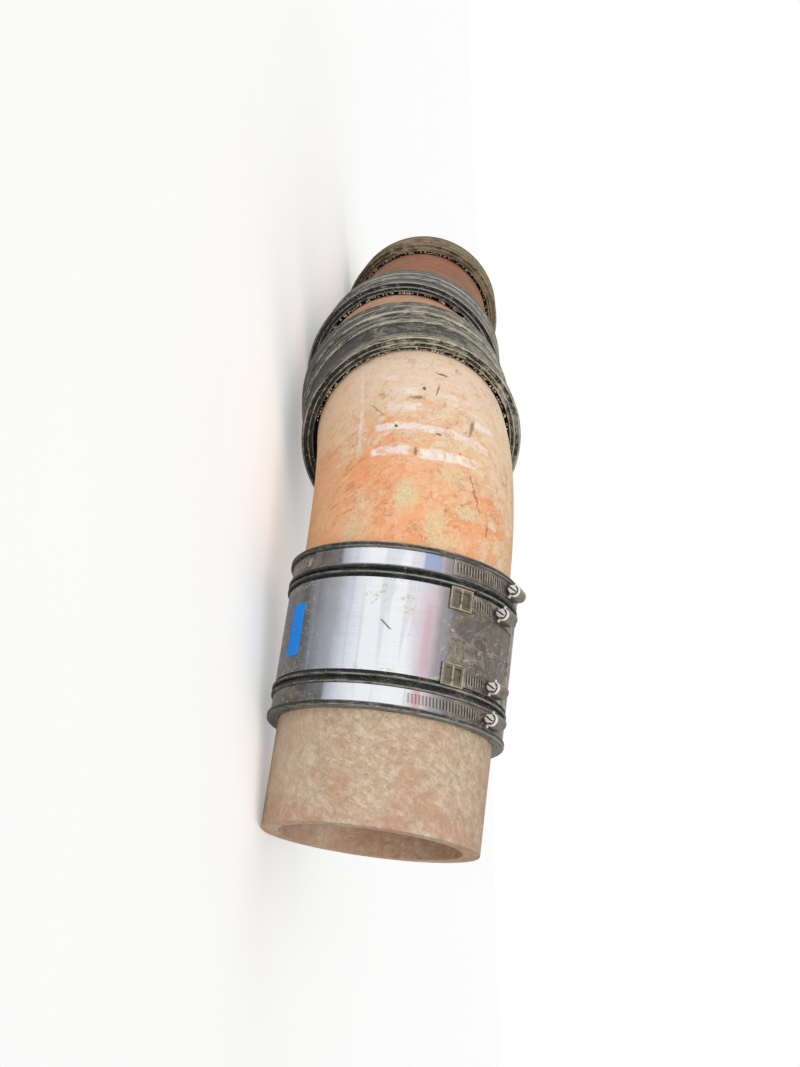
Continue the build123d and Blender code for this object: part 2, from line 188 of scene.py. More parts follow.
class Graph:
    """Builds one material's nodes."""

    def __init__(self, name: str) -> None:
        """Starts a material with a Principled shader."""
        self.material = bpy.data.materials.new(name)
        self.material.use_nodes = True
        self.tree = self.material.node_tree
        self.tree.nodes.clear()
        self.shader = self.node("ShaderNodeBsdfPrincipled")
        output = self.node("ShaderNodeOutputMaterial")
        self.tree.links.new(self.shader.outputs[0], output.inputs[0])
        self.object = self.node("ShaderNodeTexCoord").outputs["Object"]

    def node(self, kind: str, **settings: object) -> bpy.types.Node:
        """A new node with some of its settings."""
        made = self.tree.nodes.new(kind)
        for key, value in settings.items():
            setattr(made, key, value)
        return made

    def put(self, socket: Socket, value: object) -> None:
        """Links a socket to an input, or sets the input's value."""
        if isinstance(value, Socket):
            self.tree.links.new(value, socket)
        else:
            socket.default_value = value

    def fill(self, node: bpy.types.Node, **inputs: object) -> None:
        """Links or sets inputs by their names."""
        for name, value in inputs.items():
            self.put(node.inputs[name], value)

    def math(self, operation: str, *values: object, clamp: bool = False) -> Socket:
        """One step of arithmetic."""
        made = self.node("ShaderNodeMath", operation=operation, use_clamp=clamp)
        for socket, value in zip(made.inputs, values):
            self.put(socket, value)
        return made.outputs[0]

    def chain(self, operation: str, values: Sequence[object], clamp: bool) -> Socket:
        """One operation over a row of values, from the first on."""
        total = values[0]
        for value in values[1:]:
            total = self.math(operation, total, value, clamp=clamp)
        return total

    def times(self, *values: object, clamp: bool = False) -> Socket:
        """Product of the values."""
        return self.chain("MULTIPLY", values, clamp)

    def plus(self, *values: object, clamp: bool = False) -> Socket:
        """Sum of the values."""
        return self.chain("ADD", values, clamp)

    def minus(self, value: object, less: object, clamp: bool = False) -> Socket:
        """The first value less the second."""
        return self.math("SUBTRACT", value, less, clamp=clamp)

    def most(self, *values: object, clamp: bool = False) -> Socket:
        """The greatest of the values."""
        return self.chain("MAXIMUM", values, clamp)

    def size(self, value: object) -> Socket:
        """The value without its sign."""
        return self.math("ABSOLUTE", value)

    def fall(self, value: Socket, low: float, high: float) -> Socket:
        """1 below a range, 0 above it."""
        return self.ramp(value, low, high, 1.0, 0.0)

    def weigh(self, *pairs: tuple[object, float]) -> Socket:
        """Sum of values, each times its weight."""
        return self.plus(*(self.times(value, weight) for value, weight in pairs))

    def ramp(self, value: Socket, low: float, high: float, to_low: float = 0.0,
             to_high: float = 1.0) -> Socket:
        """Smooth step of a value from one range to another."""
        made = self.node("ShaderNodeMapRange", interpolation_type="SMOOTHSTEP")
        for socket, number in zip(made.inputs, (value, low, high, to_low, to_high)):
            self.put(socket, number)
        return made.outputs[0]

    def noise(self, scale: float, detail: float = 4.0, rough: float = 0.55, warp: float = 0.0,
              stretch: Sequence[float] | None = None, vector: Socket | None = None) -> Socket:
        """Noise from 0 to 1 about the middle.

        Args:
            scale: features for each metre, or each unit of the vector given.
            detail: octaves.
            rough: weight of the finer octaves.
            warp: distortion.
            stretch: scale for each axis, for streaks.
            vector: where it is sampled; the object's own place when left out.
        Returns:
            The noise value.
        """
        made = self.node("ShaderNodeTexNoise")
        place = vector or self.object
        if stretch:
            mapping = self.node("ShaderNodeMapping")
            self.fill(mapping, Vector=place, Scale=stretch)
            place = mapping.outputs[0]
        self.fill(made, Vector=place, Scale=scale, Detail=detail, Roughness=rough, Distortion=warp)
        return made.outputs["Fac"]

    def mix(self, factor: object, first: object, second: object) -> Socket:
        """Colour between two colours."""
        made = self.node("ShaderNodeMix", data_type="RGBA")
        self.put(made.inputs["Factor"], factor)
        self.put(made.inputs[6], first)
        self.put(made.inputs[7], second)
        return made.outputs[2]

    def turned(self, origin: Vector, turn: Euler) -> Socket:
        """Place in millimetres in a frame with its own origin and turn."""
        mapping = self.node("ShaderNodeMapping", vector_type="TEXTURE")
        self.fill(mapping, Vector=self.object, Location=origin, Rotation=turn, Scale=(MM, MM, MM))
        return mapping.outputs[0]

    def parts(self, vector: Socket) -> Sequence[Socket]:
        """The x, y and z of a vector."""
        made = self.node("ShaderNodeSeparateXYZ")
        self.put(made.inputs[0], vector)
        return made.outputs

    def local(self, matrix: Matrix) -> tuple[Socket, ...]:
        """Place inside a turned frame: its vector, angle in degrees, radius, and height, in millimetres."""
        place = self.turned(matrix.to_translation(), matrix.to_euler())
        x, y, z = self.parts(place)
        angle = self.math("DEGREES", self.math("ARCTAN2", y, x))
        radius = self.math("SQRT", self.plus(self.times(x, x), self.times(y, y)))
        return place, angle, radius, z

    def vector(self, *parts: object) -> Socket:
        """A vector from up to three values."""
        made = self.node("ShaderNodeCombineXYZ")
        for socket, part in zip(made.inputs, parts):
            self.put(socket, part)
        return made.outputs[0]

    def tones(self, value: Socket, stops: Sequence[tuple[float, Colour]]) -> Socket:
        """Colours along a value.

        Args:
            value: what the colours follow.
            stops: pairs of a value and its colour, in order.
        Returns:
            The colour.
        """
        low, high = stops[0][0], stops[-1][0]
        made = self.node("ShaderNodeValToRGB")
        self.put(made.inputs[0], self.math("DIVIDE", self.minus(value, low), high - low))
        elements = made.color_ramp.elements
        while len(elements) < len(stops):
            elements.new(1.0)
        for element, (place, colour) in zip(elements, stops):
            element.position = (place - low) / (high - low)
            element.color = colour
        return made.outputs[0]

    def band(self, value: Socket, start: float, end: float, soft: float) -> Socket:
        """1 between two values, with soft sides."""
        rise = self.ramp(value, start - soft, start + soft)
        return self.times(rise, self.fall(value, end - soft, end + soft))

    def bump(self, height: Socket, distance: float, strength: float = 1.0,
             after: Socket | None = None) -> Socket:
        """Bumped normal from a height in metres times the distance."""
        made = self.node("ShaderNodeBump")
        self.fill(made, Strength=strength, Distance=distance, Height=height)
        if after:
            self.fill(made, Normal=after)
        return made.outputs[0]

    def finish(self, colour: object, rough: object, metal: object = 0.0, normal: Socket | None = None,
               specular: float = 0.5) -> Material:
        """Joins the finish to the shader and returns the material."""
        self.put(self.shader.inputs["Base Color"], colour)
        self.put(self.shader.inputs["Specular IOR Level"], specular)
        self.fill(self.shader, Roughness=rough, Metallic=metal)
        if normal:
            self.fill(self.shader, Normal=normal)
        return self.material


@dataclass(frozen=True)
class Mark:
    """A smudged painted bar round the large bend, between two places given by length along it and angle."""
    along: float
    angle: float
    end_along: float
    end_angle: float
    strength: float = 1.0
    width: float = 6.6


@dataclass(frozen=True)
class Patch:
    """A patch or smear on the large bend: its middle, its half lengths along and round, and its slant."""
    along: float
    angle: float
    half_along: float
    half_round: float
    strength: float = 1.0
    slant: float = 0.0


MARKS = tuple(Mark(*row) for row in (
    (88.5, -36, 84.5, -3), (84.5, -3, 83.5, 31, 0.85, 6), (67, -37.5, 66.3, -16.5),
    (64, -11, 66.5, 22.5, 1, 7.2), (106.5, -30, 104.5, -10.5), (123.5, -31, 121, -13),
    (118.5, -3, 121.5, 19, 0.6, 4.2), (147, -36.5, 138, -24, 0.85), (102.5, 20.8, 105, 35.5, 0.85),
    (113, 8, 110, 31, 0.5, 3.6), (135, -18, 136, 20, 0.35, 3.2), (157, -30, 152, 22, 0.3, 5),
))
PATCHES = tuple(Patch(*row) for row in (
    (34, -16.2, 10.5, 10), (29.5, 18.5, 4.6, 13, 0.9), (17, 1, 11, 9, 0.8), (6, 6, 6, 15, 0.75),
    (10.5, -44.8, 8, 7, 0.85), (73, -45, 8, 5, 0.9), (104, -38, 14, 6, 0.6), (52, 8, 5, 12, 0.7),
))
SMEARS = tuple(Patch(*row) for row in (
    (86.5, -24.2, 1.6, 1.5), (82, -0.8, 0.8, 2.6, 0.9), (145, 2, 1.2, 5, 0.9, 0.3), (124.5, -9, 2.2, 1.6),
    (114, -13, 2, 6.5, 0.65, -0.2), (124.5, -1.2, 6.5, 0.8, 0.8, 0.3), (97.5, 19.2, 8.5, 1.8, 0.65, 0.25),
    (65.5, -13, 3.6, 1.4, 0.7), (107, -36, 9, 0.7, 0.6, -0.9), (24, 33, 4, 1.6, 0.5),
))


class Grains(NamedTuple):
    """The noises of a clay finish, from the widest to the finest, and its slanting brush strokes."""
    broad: Socket
    middle: Socket
    small: Socket
    fine: Socket
    strokes: Socket


@dataclass(frozen=True)
class ClayFinish:
    """Fired clay with pale dust, and painted bars where asked for; where there are bars, its floor side is
    also lighter, as painted light.
    """
    name: str
    fired: Colour
    pale: Colour
    dust: Colour
    dust_shade: Colour
    dust_rosy: Colour
    deep: Colour
    stain: Colour
    dust_share: float = 0.5
    mud: float = 0.0
    marks: tuple[Mark, ...] = ()
    patches: tuple[Patch, ...] = ()

    def make(self, run: Run) -> Material:
        """Makes the material."""
        g = Graph(self.name)
        along, angle = self.bend_place(g, run)
        grains = self.grains(g, run, along, angle)
        colour, dusty = self.dusted(g, grains, along, angle)
        colour, lines = self.stained(g, grains, along, angle, colour)
        if self.marks:
            # Painted light: the clay of the bend is lighter toward the floor side, against the shade there.
            colour = g.mix(g.ramp(angle, -72, -34, 0.4, 0), colour, BEND_PAINTED_LIGHT)
            colour = self.painted(g, along, angle, colour)
        if self.mud:
            colour = g.mix(g.times(g.ramp(grains.middle, 0.3, 0.62), self.mud), colour, MUD)
        height = g.plus(g.times(grains.fine, 0.35), g.plus(g.times(dusty, 0.5), grains.small))
        height = g.minus(height, g.times(lines, 0.5))
        normal = g.bump(height, 0.0012, 0.6)
        normal = g.bump(g.noise(1700, 2, 0.5), 0.0003, 0.35, normal)
        return g.finish(colour, g.ramp(grains.fine, 0.2, 0.8, 0.72, 0.95), 0, normal, 0.3)

    def grains(self, g: Graph, run: Run, along: Socket, angle: Socket) -> Grains:
        """The noises; the strokes slant across the pipe and are drawn out four to five times."""
        side = g.times(angle, math.radians(run.sizes.pipe_r))
        across = g.minus(g.times(along, STROKE_LEAN[0]), g.times(side, STROKE_LEAN[1]))
        down = g.weigh((along, STROKE_LEAN[1]), (side, STROKE_LEAN[0]))
        strokes = g.noise(0.22, 6, 0.72, 1.1, None, g.vector(across, g.times(down, 0.22), 0))
        return Grains(g.noise(13, 4, 0.55, 0.8), g.noise(40, 5, 0.58, 1.2), g.noise(140, 5, 0.66, 0.8),
                      g.noise(520, 4, 0.65), strokes)

    def dusted(self, g: Graph, grains: Grains, along: Socket, angle: Socket) -> tuple[Socket, Socket]:
        """The clay under its dust, and where the dust lies."""
        lift: object = 0.0
        if self.marks:
            lift = g.plus(g.ramp(along, 25, 110, -0.04, 0.08), g.ramp(angle, 12, 42, 0, 0.1),
                          g.ramp(along, 105, 150, 0, 0.1), g.ramp(angle, -75, -40, 0.03, 0))
        broad, middle, small, fine, strokes = grains
        share = g.plus(g.weigh((middle, 0.5), (small, 0.12), (broad, 0.2), (strokes, 0.12)), lift)
        colour = g.mix(g.ramp(broad, 0.38, 0.64), self.fired, self.pale)
        colour = g.mix(g.times(g.ramp(strokes, 0.47, 0.62), 0.45), colour, self.pale)
        deep = g.times(g.fall(strokes, 0.36, 0.49), g.ramp(small, 0.38, 0.58), 0.6)
        colour = g.mix(deep, colour, self.deep)
        dust = g.tones(g.noise(34, 6, 0.7, 1.6), (
            (0.3, self.pale), (0.42, self.dust_shade), (0.5, self.dust), (0.58, self.dust_rosy),
            (0.7, self.dust)))
        dust = g.mix(g.times(g.ramp(strokes, 0.4, 0.5, 0.6, 0), g.ramp(fine, 0.4, 0.6)), dust, self.pale)
        if self.marks:
            dust = g.mix(g.ramp(along, 50, 160, 0, 0.8), dust, BEND_UPPER_DUST)
        edge = 0.68 - 0.3 * self.dust_share
        dusty = g.ramp(share, edge - 0.03, edge + 0.035)
        colour = g.mix(g.times(dusty, 0.85), colour, dust)
        film = g.times(g.ramp(fine, 0.44, 0.6), g.ramp(share, edge - 0.14, edge), 0.5)
        return g.mix(film, colour, self.dust), dusty

    def stained(self, g: Graph, grains: Grains, along: Socket, angle: Socket,
                colour: Socket) -> tuple[Socket, Socket]:
        """Adds shades, pale wisps, brushed earth and specks; also says where the dark hairlines run."""
        _, middle, small, fine, strokes = grains
        shade = g.times(g.fall(small, 0.4, 0.5), g.ramp(middle, 0.42, 0.56), 0.3)
        colour = g.mix(shade, colour, self.deep)
        wisps = g.times(g.ramp(g.noise(75, 6, 0.72, 1), 0.53, 0.61), g.ramp(small, 0.42, 0.56, 0.15, 0.5))
        colour = g.mix(wisps, colour, self.dust_rosy)
        lines = g.band(g.noise(52, 5, 0.62, 1.2), 0.494, 0.503, 0.003)
        lines = g.times(lines, g.ramp(g.noise(30, 3, 0.6, 0.5), 0.52, 0.6))
        colour = g.mix(g.times(lines, 0.6), colour, self.stain)
        brushed = g.ramp(middle, 0.5, 0.62, 0, 0.5)
        if self.marks:
            brushed = g.most(g.times(g.band(angle, -82, -40, 7), g.band(along, 12, 128, 14)), brushed)
        brushed = g.times(brushed, g.fall(strokes, 0.37, 0.45), g.ramp(small, 0.4, 0.56))
        colour = g.mix(g.times(brushed, g.ramp(fine, 0.38, 0.55, 0.3, 0.7)), colour, self.stain)
        specks = g.times(g.ramp(g.noise(240, 4, 0.75), 0.64, 0.7), 0.75)
        return g.mix(specks, colour, self.stain), lines

    def bend_place(self, g: Graph, run: Run) -> tuple[Socket, Socket]:
        """Length along the large bend in millimetres and angle round it in degrees."""
        radius = run.sizes.bend_radius
        centre = run.place @ (run.bend_start.origin + Vector((0, radius, 0)))
        x, y, z = g.parts(g.turned(centre, run.lean.to_euler()))
        reach = g.math("SQRT", g.plus(g.times(x, x), g.times(y, y)))
        turn = g.math("ARCTAN2", g.times(x, -1), g.times(y, -1))
        wander = g.times(g.minus(g.noise(120, 3, 0.6), 0.5), 5)
        angle = g.math("DEGREES", g.math("ARCTAN2", z, g.minus(reach, radius)))
        return g.plus(g.times(turn, radius), wander), angle

    def near(self, g: Graph, along: Socket, angle: Socket, patch: Patch) -> Socket:
        """1 inside a patch or smear, with a soft ragged edge."""
        ahead = g.minus(along, patch.along)
        beside = g.times(g.minus(angle, patch.angle), math.radians(SIZES.pipe_r))
        beside = g.minus(beside, g.times(ahead, patch.slant))
        ahead = g.math("DIVIDE", ahead, patch.half_along)
        beside = g.math("DIVIDE", beside, patch.half_round)
        away = g.math("SQRT", g.plus(g.times(beside, beside), g.times(ahead, ahead)))
        fineness = 420 if min(patch.half_along, patch.half_round) <= SMALL_PATCH else 200
        ragged = g.times(g.minus(g.noise(fineness, 5, 0.72, 0.5), 0.5), 3)
        return g.ramp(g.plus(away, ragged), 0.6, 1.3, patch.strength, 0)

    def painted(self, g: Graph, along: Socket, angle: Socket, colour: Socket) -> Socket:
        """Adds the painted bars, pale line, patches, smears and hairline crack of the large bend."""
        worn = g.ramp(g.noise(140, 6, 0.72, 0.8), 0.4, 0.5, 0.2, 1)
        white = g.mix(g.ramp(g.noise(60, 4, 0.6), 0.42, 0.58), PAINT, PAINT_ROSY)
        olive = g.mix(g.ramp(g.noise(420, 5, 0.75), 0.36, 0.6), self.dust, OLIVE)
        for patch in self.patches:
            colour = g.mix(self.near(g, along, angle, patch), colour, olive)
        for mark in self.marks:
            slope = (mark.end_along - mark.along) / (mark.end_angle - mark.angle)
            middle = g.plus(g.times(g.minus(angle, mark.angle), slope), mark.along)
            mask = g.times(g.band(g.minus(along, middle), -mark.width / 2, mark.width / 2, 0.7),
                           g.band(angle, mark.angle, mark.end_angle, 1.2), worn, mark.strength)
            colour = g.mix(mask, colour, white)
        line = g.times(g.band(angle, *PALE_LINE_ROUND, 0.5), g.band(along, *PALE_LINE_ALONG, 4), 0.5)
        colour = g.mix(line, colour, white)
        for smear in SMEARS:
            colour = g.mix(self.near(g, along, angle, smear), colour, EARTH_SMEAR)
        shake = g.times(g.minus(g.noise(160, 4, 0.75), 0.5), 9)
        lean = g.plus(g.times(g.minus(along, 45), 0.3), g.plus(angle, shake))
        crack = g.times(g.band(lean, *CRACK_ROUND, 0.3), g.band(along, *CRACK_ALONG, 1.5), 0.8)
        return g.mix(crack, colour, CRACK)


@dataclass(frozen=True)
class SteelFinish:
    """Bright rolled steel that mirrors its surroundings, with a film of earth toward both sides.

    Its tones by angle are a painted reflection, bright at the front and darker toward both sides; the earth
    film also darkens both sides as painted reflection, and the tints of what it mirrors are painted too.
    """
    name: str

    def make(self, run: Run) -> Material:
        """Makes the material."""
        g = Graph(self.name)
        _, angle, radius, along = g.local(run.matrix(run.sleeve))
        polar = g.vector(angle, along, radius)
        columns = g.noise(1, 2, 0.5, 0.3, (0.13, 0.004, 0), polar)
        lines = g.noise(1, 3, 0.6, 0, (0.02, 3, 0.4), polar)
        broad, middle, fine = g.noise(22, 4, 0.6, 0.8), g.noise(75, 5, 0.65, 1.2), g.noise(380, 4, 0.65)
        scuffs = g.noise(1, 6, 0.76, 1.6, (0.1, 0.075, 0), polar)
        off = g.size(along)

        # Painted reflection: the base tone by angle is bright at the front and darker toward both sides.
        wavy = g.times(g.minus(broad, 0.5), 10)
        tone = g.tones(g.plus(angle, wavy), STEEL_REFLECTION_TONES)
        tone = g.mix(g.ramp(columns, 0.52, 0.6, 0, 0.3), tone, BLUISH)
        tone = g.mix(g.ramp(lines, 0.35, 0.75, 0, 0.12), tone, ROLLED)
        shade = g.times(g.fall(angle, -44.5, -42), g.ramp(off, 42, 44),
                        g.ramp(scuffs, 0.3, 0.6, 0.95, 0.6))
        tone = g.mix(shade, tone, SHADED)

        # Earth film toward both sides by angle: partly real earth, partly painted reflection that darkens
        # both sides.
        side = g.most(g.ramp(angle, 3, 22), g.ramp(angle, -68, -48, 0.75, 0))
        film = g.times(side, g.ramp(scuffs, 0.36, 0.56, 0.35, 1))
        earth = g.mix(g.ramp(scuffs, 0.45, 0.59), EARTH, EARTH_PALE)
        earth = g.mix(g.ramp(angle, 26, 60, 0, 0.45), earth, EARTH_TOP)
        colour = g.mix(film, tone, earth)
        rub = g.times(g.ramp(g.noise(1, 5, 0.75, 2.4, (0.12, 0.07, 0), polar), 0.57, 0.64), 0.6)
        colour = g.mix(g.times(rub, g.ramp(side, 0, 0.6, 0.15, 1)), colour, SCUFFED)
        colour = self.reflected(g, angle, along, colour)

        blot = g.weigh((middle, 0.6), (fine, 0.4))
        near_top = g.times(g.band(angle, -24, 4, 6), g.band(along, 8, 36, 5), 0.07)
        spots = g.times(g.ramp(g.plus(blot, near_top), 0.55, 0.66),
                        g.ramp(g.plus(broad, near_top), 0.5, 0.62))
        edges = g.times(g.band(off, 34, 38.3, 2), g.ramp(blot, 0.52, 0.6, 0, 0.6))
        spots = g.most(spots, edges, clamp=True)
        colour = g.mix(g.times(spots, 0.9), colour, SPLASHED)
        colour = self.fittings(g, angle, along, radius, colour)
        slant = g.plus(g.times(g.minus(along, -0.5), 0.68), angle)
        scratch = g.times(g.band(slant, -17.2, -16.1, 0.3), g.band(along, -4, 3.4, 0.8), 0.85)
        colour = g.mix(scratch, colour, SCRATCHED)

        cover = g.most(g.times(film, 0.75), spots)
        rough = g.plus(g.ramp(scuffs, 0.2, 0.8, 0.1, 0.24), g.times(cover, 0.45), clamp=True)
        metal = g.minus(1, g.times(cover, 0.8), clamp=True)
        normal = g.bump(lines, 0.0001, 0.15)
        normal = g.bump(fine, 0.0004, 0.12, normal)
        normal = g.bump(g.noise(1, 2, 0.5, 0, (0.06, 0.01, 0), polar), 0.004, 0.25, normal)
        return g.finish(colour, rough, metal, normal)

    def fittings(self, g: Graph, angle: Socket, along: Socket, radius: Socket, colour: Socket) -> Socket:
        """Worn bright edges of the strap frames and slots, earth inside them, and soiled housings."""
        worn = g.ramp(g.noise(260, 4, 0.7), 0.4, 0.54, 0.2, 0.75)
        colour = self.frames(g, angle, along, g.ramp(radius, *STRAP_TOP), worn, colour)
        for place, start, head in SLOT_ROWS:
            off = g.minus(along, place)
            turned = g.plus(angle, g.times(off, SLOT_SLANT))
            end = start + (int((head - start) / SLOT_STEP) - 0.5) * SLOT_STEP
            row = g.times(g.band(off, -SLOT_HALF, SLOT_HALF, 0.15),
                          g.band(turned, start - SLOT_LEAD, end, 0.1))
            step = g.math("FRACT", g.math("DIVIDE", g.minus(turned, start - SLOT_STEP), SLOT_STEP))
            rib = g.times(row, g.band(step, 0.3, 0.7, 0.1), worn, 0.8)
            cut = g.minus(row, g.times(row, g.band(step, 0.22, 0.78, 0.03)))
            colour = g.mix(g.times(cut, 0.5), colour, SLOT_EARTH)
            colour = g.mix(rib, colour, SLOT_RIB)
        for place, start in TAIL_ENDS:
            edge = g.times(g.band(angle, start, start + TAIL_EDGE, 0.1),
                           g.band(along, place - TAIL_HALF, place + TAIL_HALF, 0.2), worn)
            colour = g.mix(edge, colour, TAIL_WORN)
        inner = g.ramp(g.size(along), LAP_HALF, LAP_HALF - 0.5)
        lap = g.times(g.band(angle, *LAP_EDGE, 0.3), inner, worn)
        colour = g.mix(lap, colour, LAP_WORN)
        proud = g.times(g.ramp(radius, *HOUSING_BASE), g.ramp(angle, 30, 31), 0.75)
        return g.mix(proud, colour, g.mix(worn, HOUSING_EARTH, HOUSING_WORN))

    def frames(self, g: Graph, angle: Socket, along: Socket, raised: Socket, worn: Socket,
               colour: Socket) -> Socket:
        """The straps' raised window frames: soiled, earth in the windows, rubbed edges."""
        off = g.size(g.minus(g.size(along), STRAP_AT))
        ends = g.plus(*(g.band(angle, *end, 0.2) for end in FRAME_ENDS), clamp=True)
        rubbed = g.most(g.band(off, *FRAME_SIDE, 0.25), g.most(ends, g.band(angle, *FRAME_BAR, 0.2)))
        rubbed = g.times(rubbed, raised, g.band(angle, *FRAME_SPAN, 0.3), worn)
        soiled = g.times(raised, g.band(angle, FRAME_SPAN[0] - 1, FRAME_SPAN[1] + 1, 0.5), 0.6)
        colour = g.mix(soiled, colour, FRAME)
        inside = g.times(g.band(off, -1, WINDOW_HALF, 0.4), g.band(angle, *WINDOW, 0.4), 0.8)
        colour = g.mix(inside, colour, g.mix(worn, WINDOW_EARTH, WINDOW_WORN))
        return g.mix(rubbed, colour, FRAME_WORN)

    def reflected(self, g: Graph, angle: Socket, along: Socket, colour: Socket) -> Socket:
        """Tints of the things that the bright bands mirror."""
        for start, end, soft, low, high, soft_along, share, tint in MIRRORED:
            mask = g.times(g.band(angle, start, end, soft), g.band(along, low, high, soft_along), share)
            colour = g.mix(mask, colour, tint)
        return colour


@dataclass(frozen=True)
class ScrewFinish:
    """Bright plated screw, with painted shade: dark in its slot and in the gap behind its head."""
    name: str
    plate: Colour
    dull: Colour
    # Painted shade in the slot and in the gap behind the head.
    dark: Colour
    slot_half: float = 0.62
    slot_depth: float = 2.2
    gap: Pair = (3.2, 4.2)
    gap_depth: float = 3.4

    def make(self, run: Run, matrix: Matrix) -> Material:
        """The material for a screw at the middle of its housing's frame."""
        sizes = run.sizes
        g = Graph(self.name)
        place, _, radius, ahead = g.local(matrix)
        x, y, _ = g.parts(place)
        turn = math.radians(sizes.slot_turn)
        off = g.size(g.weigh((x, math.sin(turn)), (y, math.cos(turn))))
        top = sizes.screw_ahead + sizes.hex_height
        slot_end, gap_end = top - self.slot_depth, top - self.gap_depth
        slot = g.times(g.band(off, -1, self.slot_half, 0.1), g.ramp(ahead, slot_end, slot_end + 0.3))
        gap = g.times(g.band(radius, *self.gap, 0.15), g.ramp(ahead, gap_end, gap_end - 0.5))
        colour = g.mix(g.ramp(g.noise(700, 4, 0.65), 0.4, 0.62, 0, 0.4), self.plate, self.dull)
        # Painted shade in the slot and in the gap behind the head.
        colour = g.mix(g.most(slot, gap), colour, self.dark)
        return g.finish(colour, 0.3, 0.55, g.bump(g.noise(900, 3, 0.6), 0.0002, 0.2))


@dataclass(frozen=True)
class DustyFinish:
    """Black rubber or plastic with dust that gathers on its ridges, edges and end rings; less dust toward the
    floor side is painted shade.
    """
    name: str
    base: Colour
    base_worn: Colour
    dust_deep: Colour
    dust: Colour
    dust_pale: Colour
    ridge_from: float
    ridge_to: float
    share: float = 0.5
    rough: float = 0.6
    station: int = -1
    edges: tuple[Pair, ...] = ()
    rings: tuple[Pair, ...] = ()

    def make(self, run: Run) -> Material:
        """Makes the material."""
        g = Graph(self.name)
        station = run.sleeve if self.station < 0 else run.couplings[self.station]
        _, angle, radius, along = g.local(run.matrix(station))
        broad, middle, fine = g.noise(18, 4, 0.6, 0.7), g.noise(60, 5, 0.66, 1), g.noise(520, 4, 0.65)
        polar = g.vector(angle, along, radius)
        streaks = g.noise(1, 5, 0.74, 1.2, (0.05, 0.4, 0.4), polar)
        grains = g.noise(1, 5, 0.74, 0.8, (0.25, 1, 1), polar)
        dust_and_painted_shade = g.weigh((middle, 0.42), (streaks, 0.3), (grains, 0.28))
        # Painted shade: less dust, so darker, toward the floor side.
        dust_and_painted_shade = g.plus(dust_and_painted_shade, g.ramp(angle, -72, -24, -0.12, 0))
        edge = 0.64 - 0.26 * self.share
        film = g.times(g.ramp(dust_and_painted_shade, edge - 0.01, edge + 0.035), g.ramp(broad, 0.35, 0.6, 0.6, 1))
        ridge = g.ramp(radius, self.ridge_from, self.ridge_to)
        ridge = g.times(ridge, g.ramp(dust_and_painted_shade, edge - 0.1, edge + 0.02, 0.1, 0.85))
        cover = g.most(film, ridge, clamp=True)
        soil = g.tones(g.weigh((fine, 0.5), (grains, 0.5)), (
            (0.35, self.dust_deep), (0.5, self.dust), (0.65, self.dust_pale)))
        base = g.mix(g.ramp(middle, 0.42, 0.62), self.base, self.base_worn)
        colour = g.mix(g.times(cover, 0.9), base, soil)
        if self.edges:
            # Painted shade: fewer pale edge lines toward the floor side.
            kept_and_painted_shade = g.plus(g.weigh((streaks, 0.5), (grains, 0.5)), g.ramp(angle, -72, -20, -0.05, 0))
            kept_and_painted_shade = g.ramp(kept_and_painted_shade, 0.4, 0.54, 0.05, 0.85)
            colour = g.mix(g.times(self.lines(g, along, radius), kept_and_painted_shade), colour, self.dust_pale)
        crumbs = g.times(g.ramp(g.noise(600, 3, 0.7), 0.63, 0.68), 0.85)
        colour = g.mix(crumbs, colour, self.dust_pale)
        rough = g.plus(self.rough, g.times(cover, 0.3), clamp=True)
        height = g.weigh((cover, 0.6), (grains, 0.6))
        return g.finish(colour, rough, 0, g.bump(height, 0.0009, 0.6), 0.2)

    def lines(self, g: Graph, along: Socket, radius: Socket) -> Socket:
        """1 on the edges round the piece and the rings on its end face."""
        end_face = g.fall(along, 1, 2.5)
        edges = [g.band(along, at - half, at + half, 0.4) for at, half in self.edges]
        rings = [g.times(g.band(radius, at - half, at + half, 0.35), end_face) for at, half in self.rings]
        return g.most(*edges, *rings)


